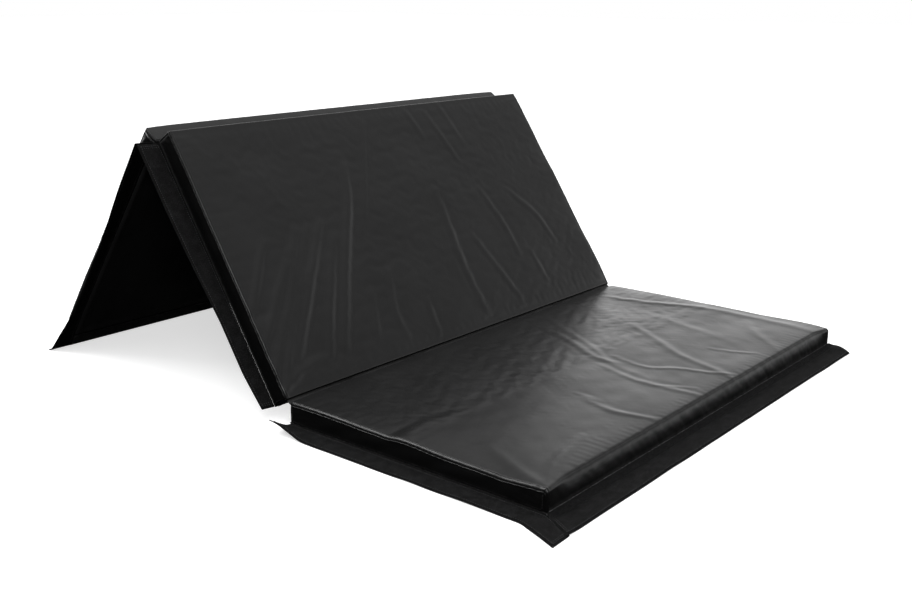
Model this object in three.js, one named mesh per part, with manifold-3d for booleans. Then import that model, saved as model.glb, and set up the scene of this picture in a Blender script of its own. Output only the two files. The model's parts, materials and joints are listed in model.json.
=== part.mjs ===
// A three-panel folding gym mat, set up with its first panel flat and the other two raised as a tent.
//
// Each panel is a block of foam in a sewn vinyl cover: a top sheet that also wraps down the two long
// walls, a gusset on each short wall, and an underside sheet that is a shallow tray.  Hook-and-loop
// flaps stand out of the seam, six millimetres above the underside.
//
// Millimetres, +Z up.  X runs along the fold lines, and the panels follow each other along Y.  The
// origin is the middle of the front panel's underside, on the floor.

import * as THREE from "three";
import { mergeVertices } from "three/addons/utils/BufferGeometryUtils.js";
import Module from "manifold-3d";

const wasm = await Module();
wasm.setup();

// Driving dimensions.
const FOLD_LENGTH = 1220; // each panel, along the fold lines
const PANEL_PITCH = 610; // from one fold line to the next
const THICKNESS = 50; // foam and cover
const MIDDLE_SLOPE = THREE.MathUtils.degToRad(56); // middle panel, up from the floor
const REAR_SLOPE = THREE.MathUtils.degToRad(54.8); // rear panel, down to the floor

const VINYL = 0.8; // cover sheet
const UNDERSIDE_SHEET = 2; // thicker, so that the hook tape lies flush in it
const SEAM_HEIGHT = 6; // seam between the walls and the underside tray
const EDGE_RADIUS = 9; // where the top sheet turns down into the long walls
const ARC_STEPS = 6; // straight steps in each rounded edge
const FOLD_GAP = 4; // between neighbouring panels when they lie flat
const FOLD_OFFSET = 0.4; // fold line beyond the faces it joins, so that stacked panels stay apart
const GAP = 0.3; // between pieces that touch

const FLAP_WIDTH = 50; // two-inch fastening flap
const FRONT_FLAP_WIDTH = 62; // flap along the front edge
const FLAP_SHEET = 0.8;
const TAPE_MARGIN = 3; // from a flap's edges to the loop or hook tape sewn on it
const TAPE_SHEET = 1;
const TAPE_GROUND_CLEARANCE = 0.1; // lowest face of a tape above the floor
const FLAP_END_SETBACK = 9; // side flaps stop short of the fold lines
const CORNER_OVERHANG = 66; // front panel's side flap runs on past the front wall
const CORNER_FLARE = 32; // and its outer corner spreads this far past its edge
const FLARE_LENGTH = 80; // along the edge
const FRONT_FLAP_SETBACK = 25; // front flap stops short of the right-hand corner
const REAR_FLAP_SETBACK = 2; // rear flap stops just short of both corners
const FOOT_RADIUS = 10; // bend of the rear flap where it meets the floor

const BODY_WIDTH = PANEL_PITCH - FOLD_GAP;
const HALF_LENGTH = FOLD_LENGTH / 2;
const HALF_BODY = BODY_WIDTH / 2;
const HALF_PITCH = PANEL_PITCH / 2;
const WALL_FOOT = SEAM_HEIGHT + GAP;

const MATERIALS = {
  foam: plainMaterial(0x8e9aa6, 0.95),
  cover: plainMaterial(0x1a1a1c, 0.42),
  underside: plainMaterial(0x121213, 0.6),
  flap: plainMaterial(0x202022, 0.7),
  loop: plainMaterial(0x2c2c2f, 1),
  hook: plainMaterial(0x222224, 0.9),
};

function plainMaterial(color, roughness) {
  return new THREE.MeshStandardMaterial({ color, roughness, metalness: 0 });
}

function namedMesh(name, geometry, material) {
  const mesh = new THREE.Mesh(geometry, material);
  mesh.name = name;
  return mesh;
}

// ---- solids -------------------------------------------------------------------------------------

// Joins or cuts closed geometries: method is "add", "subtract" or "intersect".
function combine(method, first, second) {
  const made = solidOf(first)[method](solidOf(second)).getMesh();
  const geometry = new THREE.BufferGeometry();
  geometry.setAttribute("position", new THREE.BufferAttribute(made.vertProperties, 3));
  geometry.setIndex(new THREE.BufferAttribute(made.triVerts, 1));
  return geometry;
}

function solidOf(source) {
  const geometry = source.clone();
  geometry.deleteAttribute("normal");
  geometry.deleteAttribute("uv");
  const merged = mergeVertices(geometry);
  const mesh = new wasm.Mesh({
    numProp: 3,
    vertProperties: new Float32Array(merged.attributes.position.array),
    triVerts: new Uint32Array(merged.index.array),
  });
  return new wasm.Manifold(mesh);
}

// Extrudes an outline drawn in Y and Z along X, from low to high.
function alongX(outline, low, high) {
  const geometry = new THREE.ExtrudeGeometry(outline, { depth: high - low, bevelEnabled: false });
  const turn = new THREE.Matrix4().makeBasis(
    new THREE.Vector3(0, 1, 0),
    new THREE.Vector3(0, 0, 1),
    new THREE.Vector3(1, 0, 0),
  );
  return geometry.applyMatrix4(turn).translate(low, 0, 0);
}

// Extrudes an outline drawn in X and Z along Y, centred on Y = 0.
function acrossY(outline, length) {
  const geometry = new THREE.ExtrudeGeometry(outline, { depth: length, bevelEnabled: false });
  return geometry.rotateX(Math.PI / 2).translate(0, length / 2, 0);
}

// A block whose four walls lean out at 45 degrees, so that it is wider above than below.
function leaningBlock(halfX, halfY, low, high) {
  const height = high - low;
  const geometry = new THREE.BoxGeometry(2 * halfX, 2 * halfY, height);
  const position = geometry.attributes.position;
  for (let i = 0; i < position.count; i += 1) {
    if (position.getZ(i) < 0) continue;
    position.setX(i, Math.sign(position.getX(i)) * (halfX + height));
    position.setY(i, Math.sign(position.getY(i)) * (halfY + height));
  }
  return geometry.translate(0, 0, (low + high) / 2);
}

// ---- one panel ----------------------------------------------------------------------------------

// The points of a panel's cross-section from one wall foot, over the rounded edges, to the other.
function archPoints(halfWidth, foot, top, radius) {
  const points = [new THREE.Vector2(halfWidth, foot)];
  for (const side of [1, -1]) {
    for (let i = 0; i <= ARC_STEPS; i += 1) {
      const share = side > 0 ? i / ARC_STEPS : 1 - i / ARC_STEPS;
      const angle = (share * Math.PI) / 2;
      const across = side * (halfWidth - radius + radius * Math.cos(angle));
      points.push(new THREE.Vector2(across, top - radius + radius * Math.sin(angle)));
    }
  }
  points.push(new THREE.Vector2(-halfWidth, foot));
  return points;
}

function foamCore() {
  const inset = VINYL + GAP;
  const end = HALF_LENGTH - 2 * inset;
  const arch = archPoints(HALF_BODY - inset, SEAM_HEIGHT, THICKNESS - inset, EDGE_RADIUS - inset);
  const upper = alongX(new THREE.Shape(arch), -end, end);
  const low = UNDERSIDE_SHEET + GAP;
  const rise = WALL_FOOT - low;
  const lower = leaningBlock(end - rise, HALF_BODY - inset - GAP - rise, low, WALL_FOOT);
  return combine("add", upper, lower);
}

function topSheet() {
  const outer = archPoints(HALF_BODY, WALL_FOOT, THICKNESS, EDGE_RADIUS);
  const inner = archPoints(HALF_BODY - VINYL, WALL_FOOT, THICKNESS - VINYL, EDGE_RADIUS - VINYL);
  const end = HALF_LENGTH - VINYL - GAP;
  return alongX(new THREE.Shape([...outer, ...inner.reverse()]), -end, end);
}

function gusset() {
  const outline = new THREE.Shape(archPoints(HALF_BODY, WALL_FOOT, THICKNESS, EDGE_RADIUS));
  return alongX(outline, -VINYL / 2, VINYL / 2);
}

// The shallow tray under the panel, with a pocket where its hook tape lies along the right edge.
function undersideSheet() {
  const bottomX = HALF_LENGTH - SEAM_HEIGHT;
  const bottomY = HALF_BODY - SEAM_HEIGHT;
  const outside = leaningBlock(bottomX, bottomY, 0, SEAM_HEIGHT);
  const shift = UNDERSIDE_SHEET - Math.SQRT2 * VINYL;
  const above = SEAM_HEIGHT + 1;
  const inside = leaningBlock(bottomX + shift, bottomY + shift, UNDERSIDE_SHEET, above);
  const pocket = new THREE.BoxGeometry(FLAP_WIDTH, hookTapeLength() + 2 * GAP, 2 * pocketDepth());
  pocket.translate(hookTapeCentre(), 0, 0);
  return combine("subtract", combine("subtract", outside, inside), pocket);
}

function pocketDepth() {
  return TAPE_SHEET + GAP + TAPE_GROUND_CLEARANCE;
}

function hookTapeCentre() {
  return HALF_LENGTH - SEAM_HEIGHT - FLAP_WIDTH / 2 - 1;
}

function hookTapeLength() {
  return BODY_WIDTH - 2 * FLAP_END_SETBACK;
}

function undersideHookTape() {
  const tape = new THREE.BoxGeometry(FLAP_WIDTH - 2 * GAP, hookTapeLength(), TAPE_SHEET);
  return tape.translate(hookTapeCentre(), 0, TAPE_GROUND_CLEARANCE + TAPE_SHEET / 2);
}

// The foam and the sewn cover of one panel, centred on its own underside.
function coveredPanel(name) {
  const panel = new THREE.Group();
  const gussetCentre = HALF_LENGTH - VINYL / 2;
  const leftGusset = namedMesh(`${name}_left_gusset`, gusset(), MATERIALS.cover);
  leftGusset.position.x = -gussetCentre;
  const rightGusset = namedMesh(`${name}_right_gusset`, gusset(), MATERIALS.cover);
  rightGusset.position.x = gussetCentre;
  panel.add(
    namedMesh(`${name}_foam_core`, foamCore(), MATERIALS.foam),
    namedMesh(`${name}_top_sheet`, topSheet(), MATERIALS.cover),
    leftGusset,
    rightGusset,
    namedMesh(`${name}_underside_sheet`, undersideSheet(), MATERIALS.underside),
    namedMesh(`${name}_underside_hook_tape`, undersideHookTape(), MATERIALS.hook),
  );
  return panel;
}

// ---- fastening flaps ----------------------------------------------------------------------------

// The closed outline of a strip that follows a path, between two offsets to the path's left.
function ribbon(path, low, high) {
  const offsetPath = (distance) =>
    path.map((point, i) => {
      const before = path[Math.max(i - 1, 0)];
      const after = path[Math.min(i + 1, path.length - 1)];
      const along = after.clone().sub(before).normalize();
      return new THREE.Vector2(point.x - along.y * distance, point.y + along.x * distance);
    });
  return new THREE.Shape([...offsetPath(low), ...offsetPath(high).reverse()]);
}

// The part of a path between two distances from its start.
function stretch(path, from, to) {
  const curve = new THREE.CurvePath();
  for (let i = 1; i < path.length; i += 1) {
    curve.add(new THREE.LineCurve(path[i - 1], path[i]));
  }
  const total = curve.getLength();
  const distances = curve.getCurveLengths();
  const inner = path.slice(1, -1).filter((_, i) => distances[i] > from && distances[i] < to);
  return [curve.getPointAt(from / total), ...inner, curve.getPointAt(to / total)];
}

// A flap and its tape.  The path starts at the seam and runs outwards in X, with Z up; side 1 puts
// the tape on the flap's upper face and side -1 on its lower face.
function fasteningFlap(names, path, width, length, side, tapeMaterial) {
  const flap = acrossY(ribbon(path, -FLAP_SHEET / 2, FLAP_SHEET / 2), length);
  const near = side * (FLAP_SHEET / 2 + GAP);
  const far = near + side * TAPE_SHEET;
  const tapePath = stretch(path, TAPE_MARGIN, width - TAPE_MARGIN);
  const outline = ribbon(tapePath, Math.min(near, far), Math.max(near, far));
  const tape = acrossY(outline, length - 2 * TAPE_MARGIN);
  const group = new THREE.Group();
  group.add(
    namedMesh(names.flap, flap, MATERIALS.flap),
    namedMesh(names.tape, tape, tapeMaterial),
  );
  return group;
}

// Straight out of the seam, in the plane of the panel.
function levelPath() {
  const height = SEAM_HEIGHT - FLAP_SHEET / 2;
  return [new THREE.Vector2(0, height), new THREE.Vector2(FLAP_WIDTH, height)];
}

// From the seam down to the floor that the panel lies on.
function droopingPath(width) {
  const start = SEAM_HEIGHT - FLAP_SHEET / 2;
  const end = FLAP_SHEET / 2 + TAPE_GROUND_CLEARANCE;
  const reach = Math.sqrt(width ** 2 - (start - end) ** 2);
  return [new THREE.Vector2(0, start), new THREE.Vector2(reach, end)];
}

// Down the rear panel's slope to the floor, then bent level, so that the flap is the tent's foot.
function footPath() {
  const start = SEAM_HEIGHT - FLAP_SHEET / 2;
  const apex =
    THICKNESS +
    FOLD_OFFSET +
    PANEL_PITCH * Math.sin(MIDDLE_SLOPE) -
    (THICKNESS + 2 * FOLD_OFFSET) * Math.cos(MIDDLE_SLOPE);
  const seamHeight =
    apex -
    (HALF_PITCH + HALF_BODY + GAP) * Math.sin(REAR_SLOPE) +
    (start + FOLD_OFFSET) * Math.cos(REAR_SLOPE);
  const restHeight = FLAP_SHEET / 2 + GAP + TAPE_SHEET + TAPE_GROUND_CLEARANCE;
  const bendDrop = FOOT_RADIUS * (1 - Math.cos(REAR_SLOPE));
  const straight = (seamHeight - restHeight - bendDrop) / Math.sin(REAR_SLOPE);
  const path = [new THREE.Vector2(0, start)];
  for (let i = 0; i <= ARC_STEPS; i += 1) {
    const angle = (i / ARC_STEPS) * REAR_SLOPE;
    const across = straight + FOOT_RADIUS * Math.sin(angle);
    path.push(new THREE.Vector2(across, start + FOOT_RADIUS * (1 - Math.cos(angle))));
  }
  const bent = straight + FOOT_RADIUS * REAR_SLOPE;
  const toe = path.at(-1).clone();
  toe.x += (FLAP_WIDTH - bent) * Math.cos(REAR_SLOPE);
  toe.y += (FLAP_WIDTH - bent) * Math.sin(REAR_SLOPE);
  path.push(toe);
  return path;
}

// The flap along a panel's left wall, from one Y to another.
function sideFlap(name, path, low, high) {
  const names = { flap: `${name}_side_flap`, tape: `${name}_side_loop_tape` };
  const flap = fasteningFlap(names, path, FLAP_WIDTH, high - low, 1, MATERIALS.loop);
  flap.position.set(-HALF_LENGTH - GAP, (low + high) / 2, 0);
  flap.rotation.z = Math.PI;
  return flap;
}

// The front panel's side flap, with its outer corner flared where it lies on the floor.
function frontSideFlap() {
  const low = -HALF_BODY - CORNER_OVERHANG;
  const group = sideFlap("front", droopingPath(FLAP_WIDTH), low, FLAP_REACH);
  const flap = group.children.find((mesh) => mesh.name === "front_side_flap");
  const corner = (FLAP_REACH - low) / 2;
  const inner = FLAP_WIDTH - TAPE_MARGIN / 2;
  const outline = new THREE.Shape([
    new THREE.Vector2(inner, corner - FLARE_LENGTH),
    new THREE.Vector2(FLAP_WIDTH + CORNER_FLARE, corner),
    new THREE.Vector2(inner, corner),
  ]);
  const flare = new THREE.ExtrudeGeometry(outline, { depth: FLAP_SHEET, bevelEnabled: false });
  flare.translate(0, 0, TAPE_GROUND_CLEARANCE);
  flap.geometry = combine("add", flap.geometry, flare);
  return group;
}

function frontEndFlap() {
  const names = { flap: "front_end_flap", tape: "front_end_loop_tape" };
  const length = FOLD_LENGTH - FRONT_FLAP_SETBACK;
  const path = droopingPath(FRONT_FLAP_WIDTH);
  const flap = fasteningFlap(names, path, FRONT_FLAP_WIDTH, length, 1, MATERIALS.loop);
  flap.position.set(-FRONT_FLAP_SETBACK / 2, -HALF_BODY - GAP, 0);
  flap.rotation.z = -Math.PI / 2;
  return flap;
}

function rearEndFlap() {
  const names = { flap: "rear_end_flap", tape: "rear_end_hook_tape" };
  const length = FOLD_LENGTH - 2 * REAR_FLAP_SETBACK;
  const flap = fasteningFlap(names, footPath(), FLAP_WIDTH, length, -1, MATERIALS.hook);
  flap.position.set(0, HALF_BODY + GAP, 0);
  flap.rotation.z = Math.PI / 2;
  return flap;
}

// ---- fold strips --------------------------------------------------------------------------------

// The strip of cover that bridges two panels, drawn in Y and Z about their fold line.  sign is 1 at a
// fold in the upper faces and -1 at one in the undersides; angle turns the second panel.
function foldStrip(sign, angle) {
  const reach = FOLD_GAP / 2 - GAP;
  const centre = new THREE.Vector2(0, 0);
  const outer = -sign * FOLD_OFFSET;
  const inner = outer - sign * VINYL;
  const corners = [
    new THREE.Vector2(-reach, outer),
    new THREE.Vector2(-reach, inner),
    new THREE.Vector2(reach, inner).rotateAround(centre, angle),
    new THREE.Vector2(reach, outer).rotateAround(centre, angle),
  ];
  const end = HALF_LENGTH - VINYL - GAP;
  return alongX(new THREE.Shape(corners), -end, end);
}

// ---- the mat ------------------------------------------------------------------------------------

// A group on a fold line at the far edge of a panel, and the next panel hung from it.
function foldedOn(panel, next, height, angle) {
  const pivot = new THREE.Group();
  pivot.position.set(0, HALF_PITCH, height);
  pivot.rotation.x = angle;
  next.position.set(0, HALF_PITCH, -height);
  pivot.add(next);
  panel.add(pivot);
}

const FLAP_REACH = HALF_PITCH - FLAP_END_SETBACK;
const UPPER_FOLD = THICKNESS + FOLD_OFFSET;
const LOWER_FOLD = -FOLD_OFFSET;

const front = coveredPanel("front");
front.add(frontSideFlap());
front.add(frontEndFlap());

const middle = coveredPanel("middle");
middle.add(sideFlap("middle", levelPath(), -FLAP_REACH, FLAP_REACH));

const rear = coveredPanel("rear");
rear.add(sideFlap("rear", levelPath(), -FLAP_REACH, HALF_BODY));
rear.add(rearEndFlap());

const frontStrip = namedMesh("front_fold_strip", foldStrip(1, MIDDLE_SLOPE), MATERIALS.cover);
frontStrip.position.set(0, HALF_PITCH, UPPER_FOLD);
front.add(frontStrip);

const rearTurn = -MIDDLE_SLOPE - REAR_SLOPE;
const rearStrip = namedMesh("rear_fold_strip", foldStrip(-1, rearTurn), MATERIALS.underside);
rearStrip.position.set(0, HALF_PITCH, LOWER_FOLD);
middle.add(rearStrip);

foldedOn(front, middle, UPPER_FOLD, MIDDLE_SLOPE);
foldedOn(middle, rear, LOWER_FOLD, rearTurn);

const mat = new THREE.Group();
mat.add(front);

export default mat;
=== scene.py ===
"""A three-panel folding gym mat in black vinyl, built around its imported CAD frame.  Metres, +Z up.

Every soft piece is made in its own panel's frame, where x runs along the fold lines, y across the
panel and z up from its underside, and is then placed in the world by that panel's matrix.
"""

import json
import math

import bmesh
import bpy
import numpy as np
from mathutils import Matrix, Vector


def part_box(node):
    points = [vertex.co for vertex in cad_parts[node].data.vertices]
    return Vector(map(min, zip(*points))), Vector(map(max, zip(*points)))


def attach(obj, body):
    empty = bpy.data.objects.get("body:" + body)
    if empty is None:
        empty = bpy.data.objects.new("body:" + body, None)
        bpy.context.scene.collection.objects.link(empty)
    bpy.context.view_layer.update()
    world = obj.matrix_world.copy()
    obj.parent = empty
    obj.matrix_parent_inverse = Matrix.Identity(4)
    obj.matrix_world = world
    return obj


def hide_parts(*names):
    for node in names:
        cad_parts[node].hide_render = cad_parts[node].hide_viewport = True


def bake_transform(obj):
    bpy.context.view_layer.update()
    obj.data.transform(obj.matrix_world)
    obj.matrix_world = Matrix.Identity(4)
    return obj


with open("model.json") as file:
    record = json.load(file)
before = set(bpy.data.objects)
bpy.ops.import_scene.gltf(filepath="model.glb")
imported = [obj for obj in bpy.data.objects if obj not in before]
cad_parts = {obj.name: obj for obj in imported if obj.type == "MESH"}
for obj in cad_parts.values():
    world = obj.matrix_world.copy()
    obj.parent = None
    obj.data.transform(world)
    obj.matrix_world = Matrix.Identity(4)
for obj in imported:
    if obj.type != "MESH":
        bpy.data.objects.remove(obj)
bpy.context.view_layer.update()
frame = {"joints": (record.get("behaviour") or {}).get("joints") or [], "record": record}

MM = 0.001

# ---- sizes, from the frame ----

PANELS = ("front", "middle", "rear")
MOUNTS = {mount["name"]: mount for mount in frame["record"]["mounts"]}
JOINTS = {joint["name"]: joint for joint in frame["joints"]}


def node_size(node):
    low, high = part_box(node)
    return high - low


HALF_LENGTH = node_size("front_underside_sheet").x / 2
HALF_WIDTH = node_size("front_top_sheet").y / 2
THICKNESS = MOUNTS["front_face"]["pos_m"][2]
SEAM = node_size("front_underside_sheet").z
HALF_PITCH = JOINTS["front_fold"]["pos_m"][1]


def panel_matrix(name):
    """The matrix from a panel's own frame, centred on its underside, to the world."""
    mount = MOUNTS[name + "_face"]
    up = Vector(mount["axis"])
    along = Vector((1, 0, 0))
    across = up.cross(along)
    origin = Vector(mount["pos_m"]) - up * THICKNESS
    turn = Matrix((along, across, up)).transposed().to_4x4()
    return Matrix.Translation(origin) @ turn


MATRICES = {name: panel_matrix(name) for name in PANELS}
BODIES = {name: name + "_panel" for name in PANELS}

# ---- nodes for shaders ----

WHITE = (1, 1, 1, 1)


def add_node(tree, kind, inputs, **settings):
    """Adds a node; each of its inputs gets a value, or a link from a socket."""
    node = tree.nodes.new(kind)
    for name, value in settings.items():
        setattr(node, name, value)
    for name, value in inputs.items():
        if isinstance(value, bpy.types.NodeSocket):
            tree.links.new(value, node.inputs[name])
        else:
            node.inputs[name].default_value = value
    return node


def ranged_node(tree, value, low, high, bottom, top):
    """Maps a value between low and high to between bottom and top."""
    inputs = {"Value": value, "From Min": low, "From Max": high, "To Min": bottom, "To Max": top}
    return add_node(tree, "ShaderNodeMapRange", inputs).outputs["Result"]


def math_node(tree, operation, first, second):
    return add_node(tree, "ShaderNodeMath", {0: first, 1: second}, operation=operation).outputs["Value"]


def ramp_node(tree, value, stops):
    """A ramp of colours over a value: stops are (value, colour)."""
    ramp = add_node(tree, "ShaderNodeValToRGB", {"Fac": value})
    elements = ramp.color_ramp.elements
    while len(elements) < len(stops):
        elements.new(0.5)
    for element, (position, color) in zip(elements, stops):
        element.position = position
        element.color = (*color, 1)
    return ramp.outputs["Color"]


# ---- camera, light and floor ----

# These values come from a separate program, which fitted a camera to the panels' corners in the
# reference picture.
CAMERA_PLACE = Vector((-2.040, -1.227, 0.833))
CAMERA_HEADING = math.radians(49.35)
CAMERA_DIP = math.radians(13.36)
CAMERA_ROLL = math.radians(0.31)
CAMERA_LENS, SENSOR_WIDTH = 44.4, 36
CAMERA_SHIFT = (0.054, -0.0455)
CAMERA_CLIP = (0.05, 100)

OVERHEAD_STRENGTH, OVERHEAD_SPREAD = 2.9, math.radians(90)
# The lit wall: its top, where the ceiling takes over, where it faces, how it fades round, its light.
WALL_TOP, CEILING_EDGE = math.radians(12.5), math.radians(34)
WALL_FACING, WALL_FADE, WALL_LIGHT = (0.66, 0.75, 0), (0.6, 0.88), 1.05
# The ceiling: (elevation in degrees, light), how it fades toward the left, and the share left there.
CEILING_STEPS = ((0, 1.4), (12, 0.6), (24, 0.27), (34, 0.5), (46, 0.5), (70, 0.9))
LEFT_FADE, LEFT_LIGHT = (-0.5, 0.2), 0.01
# Each softbox: name, the point it is aimed at, its direction from there, distance, size and power.
SOFTBOXES = (
    ("left_back_softbox", (-HALF_LENGTH, -0.1, 0.05), (-0.23, 0.63, 0.74), 3, 1.3, 34),
    ("left_front_softbox", (-HALF_LENGTH, 0.47, 0.3), (-0.63, -0.52, 0.54), 3, 1.1, 30),
)
# The floor is white where it is seen, and greyer in the light that it throws back on the mat.
FLOOR_REACH = 30
FLOOR_SEEN, FLOOR_BOUNCE, FLOOR_GLOW = 0.6, 0.012, 0.6


def add_object(name, data):
    thing = bpy.data.objects.new(name, data)
    bpy.context.scene.collection.objects.link(thing)
    return thing


def make_camera():
    data = bpy.data.cameras.new("camera")
    data.lens = CAMERA_LENS
    data.sensor_width = SENSOR_WIDTH
    data.shift_x, data.shift_y = CAMERA_SHIFT
    data.clip_start, data.clip_end = CAMERA_CLIP
    camera = add_object("camera", data)
    turn = Matrix.Rotation(-CAMERA_HEADING, 4, "Z")
    turn = turn @ Matrix.Rotation(math.pi / 2 - CAMERA_DIP, 4, "X")
    turn = turn @ Matrix.Rotation(CAMERA_ROLL, 4, "Z")
    camera.matrix_world = Matrix.Translation(CAMERA_PLACE) @ turn
    bpy.context.scene.camera = camera


def make_overhead_dome():
    """A very soft light from overhead, the same everywhere on the floor."""
    data = bpy.data.lights.new("overhead_dome", "SUN")
    data.energy = OVERHEAD_STRENGTH
    data.angle = OVERHEAD_SPREAD
    add_object("overhead_dome", data).visible_glossy = False


def make_softbox(name, target, direction, distance, size, power):
    """A square softbox that shines at a target, from a direction as seen from there."""
    data = bpy.data.lights.new(name, "AREA")
    data.size = size
    data.energy = power
    light = add_object(name, data)
    toward = Vector(direction).normalized()
    light.location = Vector(target) + toward * distance
    light.rotation_euler = (-toward).to_track_quat("-Z", "Y").to_euler()


def toward_node(tree, direction, target):
    """How far a direction leans toward a target, from -1 to 1."""
    inputs = {0: direction, 1: target}
    return add_node(tree, "ShaderNodeVectorMath", inputs, operation="DOT_PRODUCT").outputs["Value"]


def background_node(tree, color, strength):
    inputs = {"Color": color, "Strength": strength}
    return add_node(tree, "ShaderNodeBackground", inputs).outputs["Background"]


def camera_ray_node(tree):
    return add_node(tree, "ShaderNodeLightPath", {}).outputs["Is Camera Ray"]


def make_world():
    """A lit low wall at the back right and a ceiling that is dark on the left; seen, they are white."""
    world = bpy.data.worlds.new("studio")
    world.use_nodes = True
    tree = world.node_tree
    tree.nodes.clear()
    direction = add_node(tree, "ShaderNodeTexCoord", {}).outputs["Generated"]
    height = toward_node(tree, direction, (0, 0, 1))
    low = ranged_node(tree, height, math.sin(WALL_TOP), math.sin(CEILING_EDGE), 1, 0)
    facing = toward_node(tree, direction, WALL_FACING)
    facing = ranged_node(tree, facing, *WALL_FADE, 0, WALL_LIGHT)
    wall = background_node(tree, WHITE, math_node(tree, "MULTIPLY", low, facing))
    stops = [(math.sin(math.radians(elevation)), [light] * 3) for elevation, light in CEILING_STEPS]
    rightward = toward_node(tree, direction, (1, 0, 0))
    share = ranged_node(tree, rightward, *LEFT_FADE, LEFT_LIGHT, 1)
    ceiling = background_node(tree, ramp_node(tree, height, stops), share)
    both = add_node(tree, "ShaderNodeAddShader", {0: wall, 1: ceiling}).outputs["Shader"]
    inputs = {"Fac": camera_ray_node(tree), 1: both, 2: background_node(tree, WHITE, 1)}
    shown = add_node(tree, "ShaderNodeMixShader", inputs).outputs["Shader"]
    add_node(tree, "ShaderNodeOutputWorld", {"Surface": shown})
    bpy.context.scene.world = world


def make_studio():
    bpy.context.scene.view_settings.view_transform = "Standard"
    make_world()
    make_overhead_dome()
    for softbox in SOFTBOXES:
        make_softbox(*softbox)


def floor_paint():
    material = bpy.data.materials.new("studio_floor_paint")
    material.use_nodes = True
    tree = material.node_tree
    shader = tree.nodes["Principled BSDF"]
    shader.inputs["Roughness"].default_value = 1
    shader.inputs["Specular IOR Level"].default_value = 0
    shader.inputs["Emission Color"].default_value = WHITE
    seen = camera_ray_node(tree)
    shade = ranged_node(tree, seen, 0, 1, FLOOR_BOUNCE, FLOOR_SEEN)
    tree.links.new(shade, shader.inputs["Base Color"])
    tree.links.new(ranged_node(tree, seen, 0, 1, 0, FLOOR_GLOW), shader.inputs["Emission Strength"])
    return material


def make_floor():
    mesh = bpy.data.meshes.new("studio_floor")
    corners = [(x * FLOOR_REACH, y * FLOOR_REACH, 0) for x, y in ((-1, -1), (1, -1), (1, 1), (-1, 1))]
    mesh.from_pydata(corners, [], [(0, 1, 2, 3)])
    mesh.materials.append(floor_paint())
    add_object("studio_floor", mesh)


# ---- meshes ----

# A random surface is a sum of this many waves, with lengths between these shares of what is asked.
WAVES, WAVE_LENGTHS = 9, (0.7, 1.5)
QUAD_CORNERS = ((0, 0), (1, 0), (1, 1), (0, 1))


def undulation(x, y, height, wavelength, seed):
    """A smooth random surface of about this height, with its bumps about a wavelength apart."""
    draw = np.random.RandomState(seed)
    total = np.zeros(np.broadcast(x, y).shape)
    for _ in range(WAVES):
        heading = draw.uniform(0, 2 * math.pi)
        length = wavelength * draw.uniform(*WAVE_LENGTHS)
        phase = draw.uniform(0, 2 * math.pi)
        total += np.sin((x * math.cos(heading) + y * math.sin(heading)) * 2 * math.pi / length + phase)
    return height * (total / math.sqrt(WAVES / 2))


def smooth_step(value, low, high):
    share = np.clip((value - low) / (high - low), 0, 1)
    return share * share * (3 - 2 * share)


def lines_between(low, high, step):
    return np.linspace(low, high, max(round((high - low) / step), 2) + 1)


def mirrored_lines(half, offsets, step):
    """Grid lines from -half to half: close together near both ends, then a step apart."""
    inner = half - offsets[-1]
    middle = np.linspace(-inner, inner, round(2 * inner / step) + 1)
    near = [offset - half for offset in offsets[:-1]]
    far = [-place for place in reversed(near)]
    return np.array([*near, *middle, *far])


def box_grid(xs, ys, zs):
    """Points and quads of a closed box, whose six faces are split along these lines."""
    number = {}
    points = []
    quads = []

    def vertex(i, j, k):
        if (i, j, k) not in number:
            number[i, j, k] = len(points)
            points.append((xs[i], ys[j], zs[k]))
        return number[i, j, k]

    last = [len(lines) - 1 for lines in (xs, ys, zs)]
    for normal, first, second in ((2, 0, 1), (1, 0, 2), (0, 1, 2)):
        for a in range(last[first]):
            for b in range(last[second]):
                for end in (0, last[normal]):
                    corners = [{first: a + i, second: b + j, normal: end} for i, j in QUAD_CORNERS]
                    if (end == 0) != (normal == 1):
                        corners.reverse()
                    quads.append([vertex(corner[0], corner[1], corner[2]) for corner in corners])
    return np.array(points), quads


def unit(vectors):
    return vectors / np.maximum(np.linalg.norm(vectors, axis=-1, keepdims=True), 1e-15)


def grid_normals(grid):
    return unit(np.cross(np.gradient(grid, axis=0), np.gradient(grid, axis=1)))


def shell(middle, thickness):
    """Points and quads of a closed sheet of cloth about a grid of mid-surface points."""
    rows, columns = middle.shape[:2]
    offset = grid_normals(middle) * np.broadcast_to(thickness, (rows, columns))[..., None] / 2
    points = np.concatenate([(middle + offset).reshape(-1, 3), (middle - offset).reshape(-1, 3)])
    under = rows * columns
    quads = []
    for i in range(rows - 1):
        for j in range(columns - 1):
            a = i * columns + j
            b = a + columns
            quads.append([a, b, b + 1, a + 1])
            quads.append([under + a, under + a + 1, under + b + 1, under + b])
    border = [i * columns for i in range(rows)]
    border += [(rows - 1) * columns + j for j in range(1, columns)]
    border += [i * columns + columns - 1 for i in range(rows - 2, -1, -1)]
    border += [j for j in range(columns - 2, 0, -1)]
    for a, b in zip(border, border[1:] + border[:1]):
        quads.append([a, under + a, under + b, b])
    return points, quads


TUBE_SIDES = 8


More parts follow.
